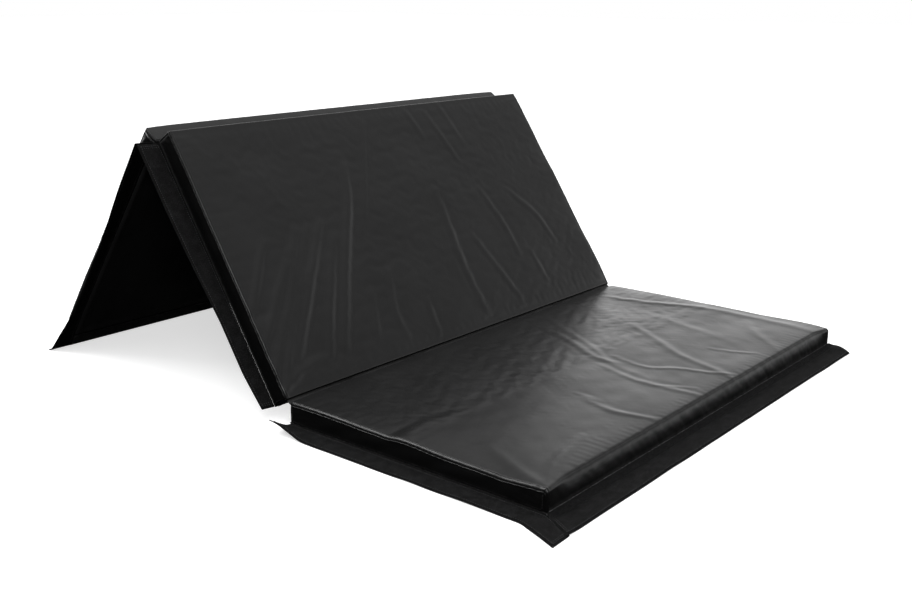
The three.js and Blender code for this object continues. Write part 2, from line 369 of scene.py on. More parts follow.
def tube(path, radius):
    """Points and faces of a closed tube along a path, with a radius at each of its points."""
    sides = TUBE_SIDES
    tangent = unit(np.gradient(path, axis=0))
    out = unit(np.cross(tangent, (1.0, 0, 0)))
    other = np.cross(tangent, out)
    turns = np.arange(sides) * 2 * math.pi / sides
    ring = out[:, None] * np.cos(turns)[None, :, None] + other[:, None] * np.sin(turns)[None, :, None]
    points = (path[:, None] + ring * radius[:, None, None]).reshape(-1, 3)
    faces = []
    for i in range(len(path) - 1):
        for j in range(sides):
            a = i * sides + j
            b = i * sides + (j + 1) % sides
            faces.append([a, b, b + sides, a + sides])
    faces.append(list(range(sides)))
    faces.append([(len(path) - 1) * sides + j for j in range(sides)])
    return points, faces


def joined(parts):
    """One mesh's points and faces from several."""
    points, faces = [], []
    count = 0
    for some_points, some_faces in parts:
        points.append(some_points)
        faces += [[count + i for i in face] for face in some_faces]
        count += len(some_points)
    return np.concatenate(points), faces


def new_mesh_object(name, shape, material):
    """A mesh object with its surface coordinates kept in an attribute, for its material to follow."""
    points, faces = shape
    mesh = bpy.data.meshes.new(name)
    mesh.from_pydata(points.tolist(), [], faces)
    editable = bmesh.new()
    editable.from_mesh(mesh)
    bmesh.ops.recalc_face_normals(editable, faces=editable.faces)
    editable.to_mesh(mesh)
    editable.free()
    place = mesh.attributes.new("cloth_place", "FLOAT_VECTOR", "POINT")
    place.data.foreach_set("vector", points.astype(np.float32).ravel())
    mesh.materials.append(material)
    mesh.shade_smooth()
    return add_object(name, mesh)


def subdivide(piece):
    modifier = piece.modifiers.new("subdivision", "SUBSURF")
    modifier.levels = modifier.render_levels = 1
    bpy.context.view_layer.update()
    graph = bpy.context.evaluated_depsgraph_get()
    shaped = piece.evaluated_get(graph)
    mesh = bpy.data.meshes.new_from_object(shaped, preserve_all_data_layers=True, depsgraph=graph)
    piece.modifiers.clear()
    piece.data = mesh
    mesh.name = piece.name


def add_piece(name, panel, shape, slot, replaced=(), material=None, subdivided=True, hold=None):
    """Makes a piece from a shape in a panel's own frame, and lets it ride on that panel.

    With hold, how firmly each point keeps its place, its cloth is also simulated.
    """
    piece = new_mesh_object(name, shape, MATERIALS[material or slot])
    if hold is not None:
        settle_cloth(piece, hold)
    if subdivided:
        subdivide(piece)
    piece.data.transform(MATRICES[panel])
    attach(piece, BODIES[panel])
    if replaced:
        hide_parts(*replaced)
    return piece


# ---- stitching ----

STITCH_LENGTH = 3.4 * MM
STITCH_PITCH = 4.8 * MM
THREAD_RADIUS = 0.38 * MM
SURFACE_STEP = 1e-3


def travelled(path):
    """How far along a path each of its points is."""
    return np.concatenate([[0], np.cumsum(np.linalg.norm(np.diff(path, axis=0), axis=1))])


def points_at(values, lengths, at):
    return np.stack([np.interp(at, lengths, values[:, axis]) for axis in range(3)], axis=1)


def stitch_row(path, normals):
    """A row of stitches along a path that lies on a surface with these normals."""
    lengths = travelled(path)
    count = max(int(lengths[-1] / STITCH_PITCH), 1)
    centres = (np.arange(count) + 0.5) * lengths[-1] / count
    start = points_at(path, lengths, centres - STITCH_LENGTH / 2)
    end = points_at(path, lengths, centres + STITCH_LENGTH / 2)
    normal = unit(points_at(normals, lengths, centres))
    middle = (start + end) / 2
    side = unit(np.cross(end - start, normal)) * THREAD_RADIUS
    rise = normal * THREAD_RADIUS
    corners = np.stack([start, middle + side, middle + rise, middle - side, middle - rise, end], axis=1)
    faces = []
    for first in range(0, 6 * count, 6):
        for j in range(4):
            a, b = first + 1 + j, first + 1 + (j + 1) % 4
            faces.append([first, a, b])
            faces.append([first + 5, b, a])
    return corners.reshape(-1, 3), faces


def surface_row(surface, us, vs, lift, side=None):
    """Stitches over the points (u, v) of a surface, raised off it: side is 1 for up and -1 for down."""
    here = surface(us, vs)
    normals = unit(np.cross(surface(us + SURFACE_STEP, vs) - here, surface(us, vs + SURFACE_STEP) - here))
    if side:
        normals = upward(normals, side)
    return stitch_row(here + normals * lift, normals)


def upward(normals, side):
    """Normals turned to a panel's upper side, or to its lower side where side is -1."""
    return normals * np.where(normals[..., 2:3] < 0, -side, side)


def add_stitches(name, panel, rows, slot):
    return add_piece(name + "_stitches", panel, joined(rows), slot, material="thread", subdivided=False)


# ---- covers ----

# The radii of each cover's long upper edges, near and far: tighter at the folds of the mat.
EDGE_RADII = {"front": (7 * MM, 4 * MM), "middle": (4 * MM, 3 * MM), "rear": (3 * MM, 10 * MM)}
END_RADII = {"front": 6.5 * MM, "middle": 3.6 * MM, "rear": 6 * MM}
RIB_INSET = 6.6 * MM
FOOT = SEAM + 0.3 * MM
COVER_END = HALF_LENGTH - 1.1 * MM
GRID_STEP = 8.5 * MM
# Where the mesh of a cover has its lines: angles round its ends, offsets from its rib and its long
# edges, and heights up its walls, in mm.
END_LINES, END_LINES_INSET = (90, 62, 38, 18, 0), 12 * MM
RIB_LINES = (-2.3, -1.5, -1.1, -0.7, 0.3)
SIDE_LINES = (0, 1, 2, 3, 4.5, 7, 11, 16, 21, 28)
WALL_LINES = (0, 4, 8, 12, 16, 20, 24, 28, 32, 35.5, 38.5, 40.7, 41.7, 42.7, 43.7)

# Folds in the vinyl, in millimetres: (points along the fold, height, half width).  Most points on the
# front and middle panels are not made by hand: they were marked on the reference picture, turned into
# places on the panel by a separate program with the fitted camera, then changed a little and rounded
# to 5 mm.  The rear panel's folds are invented.
FOLD_STRENGTH = {"front": 1.0, "middle": 1.6, "rear": 1.1}
FOLDS = {
    "front": [
        ([(480, 260), (500, 150), (560, 0), (560, -150), (545, -290)], 2.0, 17),
        ([(255, -160), (265, -210), (290, -260)], 1.0, 6),
        ([(60, -30), (35, -125), (80, -175), (95, -240), (125, -285)], 1.3, 7),
        ([(-55, -190), (-30, -225), (-10, -265)], 0.9, 6),
        ([(160, 285), (100, 115), (20, -5), (25, -65)], 1.3, 11),
        ([(300, 60), (240, -30), (165, -130), (135, -210), (105, -295)], 1.9, 12),
        ([(-10, -40), (-55, -150), (-40, -290)], 1.4, 10),
        ([(-210, -120), (-240, -205), (-215, -290)], 1.4, 9),
        ([(-195, -95), (-205, -160)], 0.8, 7),
        ([(220, 260), (80, 40), (10, -50), (-25, -165)], 1.0, 12),
        ([(-605, -300), (-575, -215), (-530, -120)], 2.2, 13),
        ([(-605, -300), (-500, -250), (-380, -225)], 1.4, 12),
        ([(420, 120), (380, -40), (330, -180)], 0.9, 16),
        ([(560, -100), (430, -190), (350, -290)], 1.0, 13),
        ([(-605, 20), (-540, 30), (-450, 20)], 1.2, 15),
    ],
    "middle": [
        ([(-500, 25), (-550, -45), (-605, -120)], 2.0, 9),
        ([(-470, -30), (-555, -130), (-605, -190)], 2.0, 9),
        ([(-405, 35), (-475, -80), (-565, -190), (-605, -245)], 2.4, 10),
        ([(-425, -60), (-505, -150), (-575, -245), (-605, -290)], 2.2, 9),
        ([(-325, 40), (-420, -80), (-505, -185), (-570, -270)], 2.5, 11),
        ([(-300, 5), (-360, -85), (-415, -170), (-455, -245)], 1.9, 11),
        ([(-175, 165), (-215, 70), (-295, -50), (-410, -240)], 2.2, 13),
        ([(-600, -285), (-545, -255), (-480, -245)], 1.4, 9),
        ([(-365, 40), (-450, -70), (-535, -180), (-590, -260)], 1.3, 6),
        ([(-440, 0), (-520, -105), (-590, -205)], 1.2, 6),
        ([(-50, 265), (-125, 130), (-200, 10)], 0.9, 8),
        ([(90, 60), (80, -30), (65, -130), (70, -265)], 1.2, 11),
        ([(-190, -105), (-225, -200), (-220, -260)], 1.0, 9),
        ([(-265, -140), (-310, -250)], 0.8, 9),
        ([(-110, -190), (-120, -280)], 0.8, 7),
        ([(120, 285), (140, 205)], 0.9, 8),
        ([(190, 270), (230, 125)], 0.9, 8),
        ([(255, 290), (280, 170)], 0.8, 8),
        ([(255, 45), (290, -70), (290, -150)], 1.0, 9),
        ([(150, -75), (185, -175), (215, -260)], 1.0, 9),
        ([(365, 25), (440, -60), (460, -140)], 0.9, 9),
        ([(340, -150), (350, -240)], 0.7, 7),
    ],
    "rear": [
        ([(-560, -250), (-470, -120), (-420, 40)], 1.2, 11),
        ([(-605, -60), (-520, 20), (-470, 120)], 1.0, 9),
        ([(-300, -285), (-260, -140), (-280, 30)], 1.1, 10),
        ([(-120, 290), (-90, 150), (-130, -20)], 1.3, 11),
        ([(60, -290), (90, -170), (60, -60)], 1.0, 9),
        ([(150, 120), (260, 10), (300, -150)], 1.2, 12),
        ([(600, -270), (520, -150), (470, 0)], 1.3, 11),
        ([(600, 280), (500, 200), (380, 160)], 1.1, 12),
        ([(330, 290), (350, 190), (320, 90)], 0.9, 8),
        ([(-600, 280), (-520, 230), (-400, 215)], 1.0, 10),
    ],
}

# How a fold's line is smoothed, and how its height rises and falls along it.
FOLD_STEPS, FOLD_SMOOTHING, FOLD_START, FOLD_TAPER = 6, 4, 0.07, 0.7
# The trough beside a crest: its depth as a share of the crest's height, and the rest in half widths.
TROUGH_DEPTH, TROUGH_PLACE, TROUGH_WIDTH, TROUGH_REACH = 0.4, 1.7, 1.5, 4

# How far the top edge has sunk along the left wall, in millimetres: (place across, drop).  The front
# row and a few of the middle one's values started from the same program's results.
LEFT_EDGE_DROPS = {
    "front": [(-303, -1.5), (-280, 1), (-214, 6.5), (-150, 5.5), (-85, 5), (-20, 1), (18, 0.5),
              (50, 4), (97, 3), (200, 0.5), (303, 0)],
    "middle": [(-303, 1), (-230, 2), (-186, 2.6), (-160, 1.2), (-136, 1), (-125, 2.6), (-112, 1.2),
               (-60, 1), (100, 1.5), (200, 0.5), (303, 1)],
    "rear": [(-303, 1), (-120, 2.5), (-60, 1), (40, 3), (150, 1), (303, 2)],
}
EDGE_DROP_REACH, EDGE_DROP_FALL = 55 * MM, 1.3
# On the right, in millimetres: the drop, its waves, and the most that it may be.
RIGHT_DROP, RIGHT_DROP_WAVES, RIGHT_DROP_MOST = 0.9, (0.6, 170), 3

# Waves in the cloth, in millimetres: (height, wavelength).
BROAD_WAVES, SMALL_WAVES = (0.45, 230), (0.1, 70)
WAVE_FADE = (5, 90)
END_GATHERS, END_GATHER_REACH = (0.3, 19), 17
SIDE_GATHERS, SIDE_GATHER_REACH = (0.12, 24), 15
# How much lower the top is near its ends, sides, the front panel's near edge, and corners, in
# millimetres: (drop, over what distance).
END_CROWN, SIDE_CROWN, NEAR_CROWN, CORNER_CROWN = (1.3, 26), (0.8, 25), (2.4, 24), (1.2, 40)
RIB_HEIGHT, RIB_HALF_WIDTH = 0.5, 0.8

# The long walls, in millimetres: how they swell, and the gathers near and far on each panel.
WALL_BELLY = 1.1
WALL_WAVES, FINE_WALL_WAVES = (0.8, 46), (0.8, 22)
WALL_WAVES_LEAN, FINE_WAVES_LEAN = 0.9, 1.1
# The fine ones end between these shares of the wall's height, and the others fade this much.
FINE_WAVES_END, WALL_WAVES_FADE = (0.35, 0.8), 0.6
WALL_GATHERS = {"front": (0.42, 0.2), "middle": (0.25, 0.2), "rear": (0.2, 0.5)}
WALL_REACH, WALL_END_REACH = 22 * MM, 18 * MM
# How far the front panel's near wall leans in, over what distances it starts, and its spread.
NEAR_LEAN, NEAR_LEAN_FOOT, NEAR_LEAN_ENDS, NEAR_LEAN_SPREAD = 9 * MM, 9, (4, 75), 45 * MM

# The cloth of a cover: frames simulated, the foam's push, how slack it is cut, and how far it may move.
CLOTH_FRAMES = 16
FOAM_PUSH = 4
CLOTH_SLACK = 0.0035
CLOTH_REACH = 1.2 * MM
# How firmly the foam grips the top and the front panel's near edge, and where the rest is held, in mm.
CLOTH_GRIP, NEAR_GRIP = 0.25, 0.45
FOOT_HOLD, END_HOLD, EDGE_HOLD = (1, 9), (-9, -5), (-24, -10)
CLOTH = {"quality": 5, "mass": 0.2, "tension_stiffness": 20, "compression_stiffness": 12,
         "shear_stiffness": 8, "bending_stiffness": 0.3, "air_damping": 3, "use_pressure": True,
         "uniform_pressure_force": FOAM_PUSH, "shrink_min": -CLOTH_SLACK}


def panel_seed(panel, draw):
    return 10 * PANELS.index(panel) + draw


def fading(amount, distance, reach):
    return amount * np.exp(-distance / reach)


def fold_line(points):
    """A smooth line of points through a fold's few."""
    line = np.array(points, float)
    ts = np.linspace(0, len(line) - 1, FOLD_STEPS * (len(line) - 1) + 1)
    smooth = np.stack([np.interp(ts, range(len(line)), line[:, axis]) for axis in range(2)], axis=1)
    for _ in range(FOLD_SMOOTHING):
        smooth[1:-1] = (smooth[:-2] + 2 * smooth[1:-1] + smooth[2:]) / 4
    return smooth


def fold_profile(x, y, points, height, half_width):
    """The height of one long soft fold: a crest with a shallow trough along one side."""
    line = fold_line(points)
    best = np.full(x.shape, np.inf)
    signed = np.zeros(x.shape)
    share = np.zeros(x.shape)
    for k, (start, end) in enumerate(zip(line[:-1], line[1:])):
        step = end - start
        length = np.hypot(*step)
        t = ((x - start[0]) * step[0] + (y - start[1]) * step[1]) / length**2
        inside = np.clip(t, 0, 1)
        away_x = x - start[0] - inside * step[0]
        away_y = y - start[1] - inside * step[1]
        distance = np.hypot(away_x, away_y)
        nearer = distance < best
        best = np.where(nearer, distance, best)
        side = np.sign(step[0] * away_y - step[1] * away_x)
        signed = np.where(nearer, side * distance, signed)
        share = np.where(nearer, (k + inside) / (len(line) - 1), share)
    taper = np.sin(np.pi * (FOLD_START + share * (1 - 2 * FOLD_START))) ** FOLD_TAPER
    crest = np.exp(-((best / half_width) ** 2))
    trough = np.exp(-(((signed / half_width - TROUGH_PLACE) / TROUGH_WIDTH) ** 2))
    trough = fading(TROUGH_DEPTH * trough, best / half_width, TROUGH_REACH)
    return height * taper * (crest - trough)


def top_relief(panel, x, y):
    """How far the top of a panel's cover stands above or below its flat height, in metres."""
    seed = panel_seed(panel, 0)
    x, y = x / MM, y / MM
    relief = FOLD_STRENGTH[panel] * sum(fold_profile(x, y, *fold) for fold in FOLDS[panel])
    from_end = HALF_LENGTH / MM - np.abs(x)
    from_side = HALF_WIDTH / MM - np.abs(y)
    inside = smooth_step(np.minimum(from_end, from_side), *WAVE_FADE)
    relief = relief + undulation(x, y, *BROAD_WAVES, seed + 1) * inside
    relief = relief + undulation(x, 1.6 * y, *SMALL_WAVES, seed + 2) * inside
    relief = relief + fading(undulation(0 * y + 3, y, *END_GATHERS, seed + 3), from_end, END_GATHER_REACH)
    gathers = undulation(x, 0 * x + 3, *SIDE_GATHERS, seed + 4)
    relief = relief + fading(gathers, from_side, SIDE_GATHER_REACH)
    relief = relief + RIB_HEIGHT * np.exp(-(((from_end - RIB_INSET / MM) / RIB_HALF_WIDTH) ** 2))
    for (drop, reach), distance in (
        (END_CROWN, from_end),
        (SIDE_CROWN, from_side),
        (CORNER_CROWN, from_end + from_side),
    ):
        relief = relief - fading(drop, distance, reach)
    if panel == "front":
        relief = relief - fading(NEAR_CROWN[0], HALF_WIDTH / MM + y, NEAR_CROWN[1])
    return relief * MM


def wall_relief(panel, x, y, z):
    """How far a long wall stands out, in metres: soft upright gathers over the sewn foot."""
    seed = panel_seed(panel, 6)
    height = np.clip((z - FOOT) / (THICKNESS - FOOT), 0, 1)
    x, z = x / MM, z / MM
    gathers = undulation(x + WALL_WAVES_LEAN * z, 0 * x, *WALL_WAVES, seed)
    fine = undulation(x + FINE_WAVES_LEAN * z, z, *FINE_WALL_WAVES, seed + 1)
    belly = WALL_BELLY * np.sin(np.pi * height)
    strength = np.where(y < 0, *WALL_GATHERS[panel])
    puckers = gathers * (1 - WALL_WAVES_FADE * height)
    puckers = puckers + fine * (1 - smooth_step(height, *FINE_WAVES_END))
    return (belly + strength * puckers - WALL_BELLY) * MM


def left_edge_drop(panel, y):
    places, drops = zip(*LEFT_EDGE_DROPS[panel])
    return np.interp(y / MM, places, drops) * MM


def right_edge_drop(panel, y):
    waves = undulation(0 * y, y / MM, *RIGHT_DROP_WAVES, panel_seed(panel, 8))
    return (RIGHT_DROP + waves).clip(0, RIGHT_DROP_MOST) * MM


def near_lean(x, y, z):
    """How far the front panel's near wall leans in above its sewn foot, in metres."""
    height = np.clip((z / MM - NEAR_LEAN_FOOT) / (THICKNESS / MM - NEAR_LEAN_FOOT), 0, 1)
    ends = smooth_step((HALF_LENGTH - np.abs(x)) / MM, *NEAR_LEAN_ENDS)
    return fading(NEAR_LEAN * ends * height**1.6, np.maximum(HALF_WIDTH + y, 0), NEAR_LEAN_SPREAD)


def rounded_section(y, z, near_radius, far_radius):
    """Moves points on a square-edged section onto its rounded upper edges."""
    radius = np.where(y < 0, near_radius, far_radius)
    past_y = np.abs(y) - (HALF_WIDTH - radius)
    past_z = z - (THICKNESS - radius)
    rounded = (past_y > 0) & (past_z > 0)
    reach = np.where(rounded, np.hypot(past_y, past_z), 1)
    shrink = np.where(rounded, np.maximum(past_y, past_z) / reach, 1)
    new_y = np.sign(y) * (HALF_WIDTH - radius + past_y * shrink)
    new_z = THICKNESS - radius + past_z * shrink
    return np.where(rounded, new_y, y), np.where(rounded, new_z, z)


def edge_fall(distance):
    return np.exp(-((distance / EDGE_DROP_REACH) ** EDGE_DROP_FALL))


def cover_shape(panel, points):
    """Moves points from a plain box to the surface of a panel's cover."""
    x, y, z = points.T
    new_y, new_z = rounded_section(y, z, *EDGE_RADII[panel])
    if panel == "front":
        new_y = new_y + near_lean(x, y, new_z)
    share = (z - FOOT) / (THICKNESS - FOOT)
    radius = END_RADII[panel]
    into_end = np.clip(np.abs(x) - (COVER_END - radius), 0, radius)
    inset = radius - np.sqrt(np.maximum(radius**2 - into_end**2, 0))
    new_y = new_y * (1 - 0.6 * inset / HALF_WIDTH)
    new_z = FOOT + (new_z - FOOT) * (1 - inset / (THICKNESS - FOOT))
    from_left, from_right = HALF_LENGTH + x, HALF_LENGTH - x
    drop = left_edge_drop(panel, y) * edge_fall(from_left)
    drop = drop + right_edge_drop(panel, y) * edge_fall(from_right)
    new_z = new_z + share**2 * (top_relief(panel, x, y) - drop)
    wallness = np.clip(1 - (HALF_WIDTH - np.abs(y)) / WALL_REACH, 0, 1) ** 2
    ends = 1 - np.exp(-np.minimum(from_left, from_right) / WALL_END_REACH)
    new_y = new_y + np.sign(y) * wallness * ends * wall_relief(panel, x, y, z)
    return np.stack([x, new_y, new_z], axis=1)


def cover_lines(panel):
    """The lines that split a cover's box: close together round its edges and its rib."""
    ends = [END_RADII[panel] * (1 - math.sin(math.radians(angle))) for angle in END_LINES]
    rib = [RIB_INSET + offset * MM for offset in RIB_LINES]
    xs = mirrored_lines(COVER_END, [*ends, *rib, END_LINES_INSET], GRID_STEP)
    ys = mirrored_lines(HALF_WIDTH, [offset * MM for offset in SIDE_LINES], GRID_STEP)
    zs = FOOT + np.array(WALL_LINES) / WALL_LINES[-1] * (THICKNESS - FOOT)
    return xs, ys, zs


def settle_cloth(piece, hold):
    """Lets a cover relax on its foam; hold says how firmly each vertex keeps its place."""
    group = piece.vertex_groups.new(name="held")
    for index, weight in enumerate(hold):
        group.add([index], float(weight), "REPLACE")
    cloth = piece.modifiers.new("cloth", "CLOTH")
    for name, value in CLOTH.items():
        setattr(cloth.settings, name, value)
    cloth.settings.vertex_group_mass = group.name
    cloth.settings.effector_weights.gravity = 0
    cloth.point_cache.frame_start = 1
    cloth.point_cache.frame_end = CLOTH_FRAMES
    cloth.collision_settings.use_collision = False
    scene = bpy.context.scene
    for frame_number in range(1, CLOTH_FRAMES + 1):
        scene.frame_set(frame_number)
    graph = bpy.context.evaluated_depsgraph_get()
    before, after = np.empty((2, 3 * len(piece.data.vertices)))
    piece.data.vertices.foreach_get("co", before)
    piece.evaluated_get(graph).data.vertices.foreach_get("co", after)
    piece.modifiers.remove(cloth)
    moved = (after - before).reshape(-1, 3)
    distance = np.linalg.norm(moved, axis=1, keepdims=True)
    moved = unit(moved) * CLOTH_REACH * np.tanh(distance / CLOTH_REACH)
    piece.data.vertices.foreach_set("co", before + moved.ravel())
    scene.frame_set(1)


def cover_hold(panel, points):
    """How firmly each vertex is held: the foot and ends are sewn down, and the top lies on foam."""
    x, y, z = points.T
    foot = 1 - smooth_step((z - FOOT) / MM, *FOOT_HOLD)
    ends = smooth_step((np.abs(x) - COVER_END) / MM, *END_HOLD)
    edges = smooth_step((np.abs(y) - HALF_WIDTH) / MM, *EDGE_HOLD)
    if panel == "front":
        edges = np.where(y < 0, NEAR_GRIP, edges)
    return np.maximum.reduce([foot, ends, edges, np.full(len(x), CLOTH_GRIP)])


def make_cover(panel):
    """The foam block in its sewn vinyl, as one padded body."""
    points, quads = box_grid(*cover_lines(panel))
    replaced = [panel + "_foam_core", panel + "_top_sheet"]
    cover = add_piece(panel + "_cover", panel, (cover_shape(panel, points), quads), "cover_vinyl", replaced,
                      hold=cover_hold(panel, points))


# ---- gussets and their seams ----

GUSSET_SHEET = 0.9 * MM
SEAM_RADIUS = 1.3 * MM
SEAM_STEP = 3 * MM
# Where the stitches run on a gusset, as shares of its width and height: the ends of each row.
FOOT_STITCH_US, FOOT_STITCH_V, FOOT_STITCH_POINTS = (0.012, 0.988), 0.1, 200
CORNER_STITCH_U, CORNER_STITCH_VS, CORNER_STITCH_POINTS = 0.009, (0.12, 0.9), 14

# Folds that fan out of the corners of the gussets: (from the wall, height above the foot) in mm.
GUSSET_FOLDS = (
    ([(5, 8), (22, 17), (44, 20)], 1.3, 4),
    ([(5, 14), (16, 28), (30, 39)], 1.0, 4),
    ([(8, 4), (40, 8), (80, 12)], 0.9, 4),
)
# In millimetres: how far a gusset swells and stands out, its waves, and the tuck near its corners.
GUSSET_BELLY = {"front": 1.5, "middle": 1.5, "rear": 5.0}
GUSSET_STANDS = 0.65
GUSSET_WAVES, GUSSET_GATHERS = (0.7, 75), (0.28, 17)
TUCK_DEPTH, TUCK_STARTS, TUCK_ENDS = 7, (0.3, 1.1), (1.6, 4.4)


def gusset_surface(panel, side):
    """The middle of the sheet that closes one end of a cover: side is -1 for left and 1 for right."""
    seed = panel_seed(panel, side + 20)

    def surface(u, v):
        y, z = np.broadcast_arrays(HALF_WIDTH * (2 * u - 1), FOOT + v * (THICKNESS - FOOT))
        box = np.stack([np.full(y.size, side * COVER_END), y.ravel(), z.ravel()], axis=1)
        edge = cover_shape(panel, box).reshape(*y.shape, 3)
        share = (z - FOOT) / (THICKNESS - FOOT)
        swell = np.sin(np.pi * share)
        belly = GUSSET_BELLY[panel] * swell * np.sin(np.pi * np.clip(u, 0, 1)) ** 0.3
        soft = undulation(y / MM, z / MM, *GUSSET_WAVES, seed) * swell
        gathers = undulation(y / MM + 0.4 * z / MM, 0 * y, *GUSSET_GATHERS, seed + 5) * share
        from_wall = HALF_WIDTH / MM - np.abs(y) / MM
        belly = belly + sum(fold_profile(from_wall, (z - FOOT) / MM, *fold) for fold in GUSSET_FOLDS)
        tuck = (1 - smooth_step(from_wall, *TUCK_ENDS)) * smooth_step(from_wall, *TUCK_STARTS)
        out = GUSSET_STANDS + np.maximum(belly + soft + gathers, 0) - TUCK_DEPTH * tuck
        edge[..., 0] += side * out * MM
        return edge

    return surface


def resampled(path, step):
    """Points a step apart along a path."""
    lengths = travelled(path)
    return points_at(path, lengths, np.linspace(0, lengths[-1], max(int(lengths[-1] / step), 2)))


def make_gusset(panel, side, word):
    surface = gusset_surface(panel, side)
    _, ys, zs = cover_lines(panel)
    us = (ys / HALF_WIDTH + 1) / 2
    vs = (zs - FOOT) / (THICKNESS - FOOT)
    middle = surface(us[:, None], vs[None, :])
    name = f"{panel}_{word}_gusset"
    skin = add_piece(name + "_skin", panel, shell(middle, GUSSET_SHEET), "cover_vinyl", [name])
    path = resampled(middle[:, -1], SEAM_STEP)
    lumps = 1 + undulation(path[:, 1] / MM, path[:, 2] / MM, 0.13, 9, 77 + side)
    seam = add_piece(name + "_seam", panel, tube(path, SEAM_RADIUS * lumps), "cover_vinyl")
    lift = side * GUSSET_SHEET / 2
    foot_us = np.linspace(*FOOT_STITCH_US, FOOT_STITCH_POINTS)
    rows = [surface_row(surface, foot_us, np.full(foot_us.size, FOOT_STITCH_V), lift)]
    corner_vs = np.linspace(*CORNER_STITCH_VS, CORNER_STITCH_POINTS)
    for corner_u in (CORNER_STITCH_U, 1 - CORNER_STITCH_U):
        rows.append(surface_row(surface, np.full(corner_vs.size, corner_u), corner_vs, lift))
    stitches = add_stitches(name, panel, rows, "cover_vinyl")


# The seam along the foot of each long wall: its bead, painted in the lighter thread colour as a highlight
# line, and its double row of stitches.
BEAD_RADIUS, BEAD_OUT, BEAD_UP, BEAD_INSET, BEAD_POINTS = 0.7 * MM, 0.3 * MM, 1.2 * MM, 4 * MM, 300
FOOT_ROWS, FOOT_ROW_INSET, FOOT_ROW_POINTS = (2.4 * MM, 5.6 * MM), 6 * MM, 400


def make_foot_bead_highlights(panel):
    """The folded seam allowance as a fine bead along the foot of each long wall, in the lighter thread
    colour: a painted highlight line.
    """
    beads = []
    for side in (-1, 1):
        x = np.linspace(-COVER_END + BEAD_INSET, COVER_END - BEAD_INSET, BEAD_POINTS)
        lumps = 1 + undulation(x / MM, 0 * x, 0.15, 14, 90 + side)
        path = np.stack([x, 0 * x + side * (HALF_WIDTH + BEAD_OUT), FOOT + BEAD_UP * lumps], axis=1)
        beads.append(tube(path, BEAD_RADIUS * lumps))
    # The bead is vinyl, but it wears the light thread material as a painted highlight.
    add_piece(panel + "_foot_bead_highlights", panel, joined(beads), "cover_vinyl", material="thread")


def make_foot_stitches(panel):
    rows = []
    for side in (-1, 1):
        for height in FOOT_ROWS:
            x = np.linspace(-COVER_END + FOOT_ROW_INSET, COVER_END - FOOT_ROW_INSET, FOOT_ROW_POINTS)
            box = np.stack([x, 0 * x + side * HALF_WIDTH, 0 * x + FOOT + height], axis=1)
            rows.append(stitch_row(cover_shape(panel, box), np.tile((0.0, side, 0.0), (x.size, 1))))
    add_stitches(panel + "_foot", panel, rows, "cover_vinyl")


# ---- undersides ----

# The sewn rim stands down past the sheet inside it: (height, how far the wall leans in), in mm.
RIM_LEVELS = ((0.2, 5.4), (1.3, 3.4), (3.2, 1.2), (5.0, 0), (6.0, 0.5))
RIM_WIDTH = 9 * MM
RIM_OFFSETS = [0, 1.5 * MM, 4 * MM, RIM_WIDTH, 14 * MM, 20 * MM]
UNDERSIDE_STEP = 14 * MM
SHEET_RISE = 0.9 * MM
# Slack in the sheet, in metres: (height, wavelength in mm), and where it ends beside the tape.
SLACK_WAVES, SMALL_SLACK_WAVES, SLACK_HEIGHT = (1, 160), (0.4, 70), 0.7 * MM
TAPE_CLEARANCE = (45 * MM, 30 * MM)
HOOK_TAPE_WIDTH = node_size("front_underside_hook_tape").x
HOOK_TAPE_LENGTH = node_size("front_underside_hook_tape").y
HOOK_TAPE_X = sum(corner.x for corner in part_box("front_underside_hook_tape")) / 2
HOOK_TAPE_HEIGHT, HOOK_TAPE_SHEET = 0.72 * MM, 0.95 * MM
HOOK_TAPE_LINES = (9, 60)
RIM_STITCH_INSET, RIM_STITCH_POINTS = 11 * MM, 200
TAPE_STITCH_INSET, TAPE_STITCH_HEIGHT, TAPE_STITCH_POINTS = 2 * MM, 0.35 * MM, 100


def underside_height(panel, x, y):
    seed = panel_seed(panel, 31)
    from_rim = np.minimum(HALF_LENGTH - np.abs(x), HALF_WIDTH - np.abs(y))
    inside = smooth_step(from_rim, 0.6 * RIM_WIDTH, 1.5 * RIM_WIDTH)
    over_tape = smooth_step(x, *(HOOK_TAPE_X - clearance for clearance in TAPE_CLEARANCE))
    slack = np.maximum(undulation(x / MM, y / MM, *SLACK_WAVES, seed) + 0.6, 0)
    slack = slack + np.maximum(undulation(x / MM, 2 * y / MM, *SMALL_SLACK_WAVES, seed + 1), 0)
    return inside * (SHEET_RISE + SLACK_HEIGHT * slack * (1 - over_tape))


def row_below(x, y, z):
    """A row of stitches on the lower side of the points x, y, z."""
    path = np.stack(np.broadcast_arrays(x, y, z), axis=1)
    return stitch_row(path, np.tile((0.0, 0, -1.0), (len(path), 1)))


def underside_rows(panel):
    """The stitches round the rim of an underside, and along both edges of its tape."""
    rows = []
    end_x, end_y = HALF_LENGTH - RIM_STITCH_INSET, HALF_WIDTH - RIM_STITCH_INSET
    for side in (-1, 1):
        for start, end in (
            ((-end_x, side * end_y), (end_x, side * end_y)),
            ((side * end_x, -end_y), (side * end_x, end_y)),
        ):
            x, y = np.linspace(start, end, RIM_STITCH_POINTS).T
            rows.append(row_below(x, y, RIM_LEVELS[0][0] * MM + underside_height(panel, x, y)))
    for side in (-1, 1):
        x = HOOK_TAPE_X + side * (HOOK_TAPE_WIDTH / 2 - TAPE_STITCH_INSET)
        y = np.linspace(-HOOK_TAPE_LENGTH / 2, HOOK_TAPE_LENGTH / 2, TAPE_STITCH_POINTS)
        rows.append(row_below(x, y, TAPE_STITCH_HEIGHT))
    return rows


